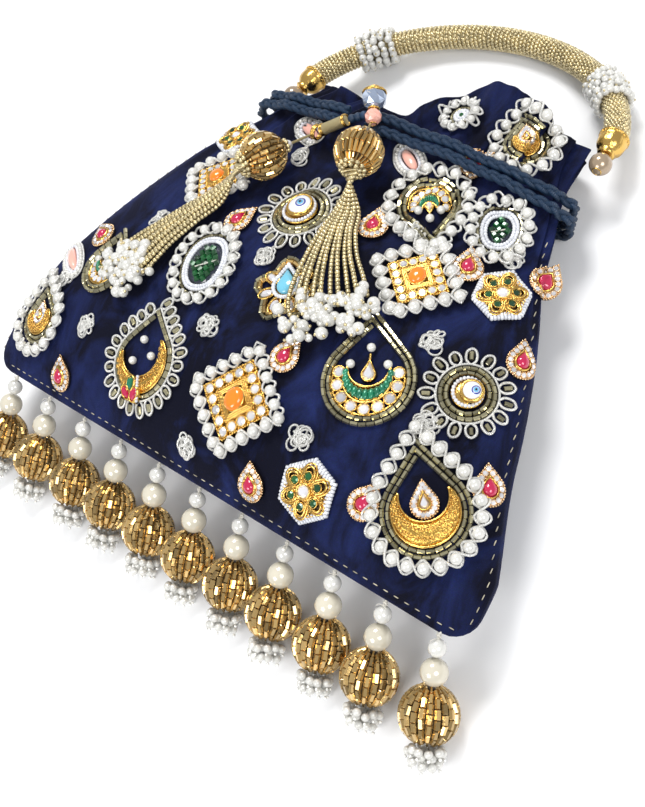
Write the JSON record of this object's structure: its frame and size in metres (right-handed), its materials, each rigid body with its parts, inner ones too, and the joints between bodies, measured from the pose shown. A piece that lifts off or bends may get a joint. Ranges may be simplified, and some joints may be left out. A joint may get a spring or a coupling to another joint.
{
  "type": "potli bag",
  "caption": "Gathered velvet drawstring pouch lying on its back, with a beaded arch handle, hanging bead tassels and raised bead and stone motifs.",
  "frame": {"origin": "on the surface that the bag lies on, under the belly", "axes": "+Z out of the front, +Y from the bottom seam to the mouth, +X to the bag's right seen from the front"},
  "size_m": [0.2527, 0.2639, 0.0588],
  "materials": {
    "velvet": "navy velvet, matt with a soft sheen",
    "cord": "braided navy cord",
    "gold_beads": "gold-lined glass seed and bugle beads",
    "gold": "polished gold tone",
    "pearl": "imitation pearl",
    "bronze_pearl": "bronze imitation pearl",
    "crystal": "clear faceted",
    "peach": "peach faceted",
    "amber": "orange cabochon in gold and pearl work",
    "mother_of_pearl": "white with a blue middle",
    "green_stone": "green enamel and stone"
  },
  "bodies": {
    "bag": {"velvet_pouch": "velvet", "drawstring_lower": "cord", "drawstring_upper": "cord", "side_bead_left": "bronze_pearl", "side_bead_right": "bronze_pearl", "crystal_bead": "crystal", "peach_bead": "peach", "gold_ferrule": "gold", "gold_ring": "gold", "motif_diamond_lower": "amber", "motif_diamond_upper": "amber", "motif_diamond_left": "amber", "motif_crescent_gold": "gold", "motif_crescent_green": "gold", "motif_crescent_ruby": "gold", "motif_crescent_neck": "gold", "motif_crescent_side": "gold", "motif_crescent_edge": "gold", "motif_eye_upper": "mother_of_pearl", "motif_eye_side": "mother_of_pearl", "motif_flower_lower": "gold", "motif_flower_side": "gold", "motif_flower_left": "gold", "motif_leaf_side": "green_stone", "motif_leaf_middle": "green_stone", "motif_leaf_frill": "green_stone", "motif_drop_frill": "gold"},
    "handle": {"handle_arch": "gold_beads", "pearl_collar_left": "pearl", "pearl_collar_right": "pearl", "handle_cap_left": "gold", "handle_cap_right": "gold"},
    "cord_tassel_left": {"cord_tassel_left_ball": "gold_beads", "cord_tassel_left_strands": "gold_beads"},
    "cord_tassel_right": {"cord_tassel_right_ball": "gold_beads", "cord_tassel_right_strands": "gold_beads"},
    "tassel_01": {"tassel_01_pearls": "pearl", "tassel_01_ball": "gold_beads"},
    "tassel_02": {"tassel_02_pearls": "pearl", "tassel_02_ball": "gold_beads"},
    "tassel_03": {"tassel_03_pearls": "pearl", "tassel_03_ball": "gold_beads"},
    "tassel_04": {"tassel_04_pearls": "pearl", "tassel_04_ball": "gold_beads"},
    "tassel_05": {"tassel_05_pearls": "pearl", "tassel_05_ball": "gold_beads"},
    "tassel_06": {"tassel_06_pearls": "pearl", "tassel_06_ball": "gold_beads"},
    "tassel_07": {"tassel_07_pearls": "pearl", "tassel_07_ball": "gold_beads"},
    "tassel_08": {"tassel_08_pearls": "pearl", "tassel_08_ball": "gold_beads"},
    "tassel_09": {"tassel_09_pearls": "pearl", "tassel_09_ball": "gold_beads"},
    "tassel_10": {"tassel_10_pearls": "pearl", "tassel_10_ball": "gold_beads"},
    "tassel_11": {"tassel_11_pearls": "pearl", "tassel_11_ball": "gold_beads"}
  },
  "joints": [
    {"name": "handle_swing", "type": "hinge", "parent": "bag", "child": "handle", "pos_m": [-0.00244, 0.085, 0.019], "axis": [0.9964, 0.0844, 0], "range_deg": [0, 105]},
    {"name": "cord_tassel_left_swing", "type": "hinge", "parent": "bag", "child": "cord_tassel_left", "pos_m": [-0.03279, 0.05837, 0.04027], "axis": [-1, 0, 0], "range_deg": [0, 85]},
    {"name": "cord_tassel_right_swing", "type": "hinge", "parent": "bag", "child": "cord_tassel_right", "pos_m": [-0.0098, 0.0694, 0.0447], "axis": [-1, 0, 0], "range_deg": [0, 95]},
    {"name": "tassel_01_swing", "type": "hinge", "parent": "bag", "child": "tassel_01", "pos_m": [-0.1105, -0.0812, 0.025], "axis": [-1, 0, 0], "range_deg": [0, 100]},
    {"name": "tassel_02_swing", "type": "hinge", "parent": "bag", "child": "tassel_02", "pos_m": [-0.0884, -0.0812, 0.025], "axis": [-1, 0, 0], "range_deg": [0, 100]},
    {"name": "tassel_03_swing", "type": "hinge", "parent": "bag", "child": "tassel_03", "pos_m": [-0.0663, -0.0812, 0.025], "axis": [-1, 0, 0], "range_deg": [0, 100]},
    {"name": "tassel_04_swing", "type": "hinge", "parent": "bag", "child": "tassel_04", "pos_m": [-0.0442, -0.0812, 0.025], "axis": [-1, 0, 0], "range_deg": [0, 100]},
    {"name": "tassel_05_swing", "type": "hinge", "parent": "bag", "child": "tassel_05", "pos_m": [-0.0221, -0.0812, 0.025], "axis": [-1, 0, 0], "range_deg": [0, 100]},
    {"name": "tassel_06_swing", "type": "hinge", "parent": "bag", "child": "tassel_06", "pos_m": [0, -0.0812, 0.025], "axis": [-1, 0, 0], "range_deg": [0, 100]},
    {"name": "tassel_07_swing", "type": "hinge", "parent": "bag", "child": "tassel_07", "pos_m": [0.0221, -0.0812, 0.025], "axis": [-1, 0, 0], "range_deg": [0, 100]},
    {"name": "tassel_08_swing", "type": "hinge", "parent": "bag", "child": "tassel_08", "pos_m": [0.0442, -0.0812, 0.025], "axis": [-1, 0, 0], "range_deg": [0, 100]},
    {"name": "tassel_09_swing", "type": "hinge", "parent": "bag", "child": "tassel_09", "pos_m": [0.0663, -0.0812, 0.025], "axis": [-1, 0, 0], "range_deg": [0, 100]},
    {"name": "tassel_10_swing", "type": "hinge", "parent": "bag", "child": "tassel_10", "pos_m": [0.0884, -0.0812, 0.025], "axis": [-1, 0, 0], "range_deg": [0, 100]},
    {"name": "tassel_11_swing", "type": "hinge", "parent": "bag", "child": "tassel_11", "pos_m": [0.1105, -0.0812, 0.025], "axis": [-1, 0, 0], "range_deg": [0, 100]}
  ]
}
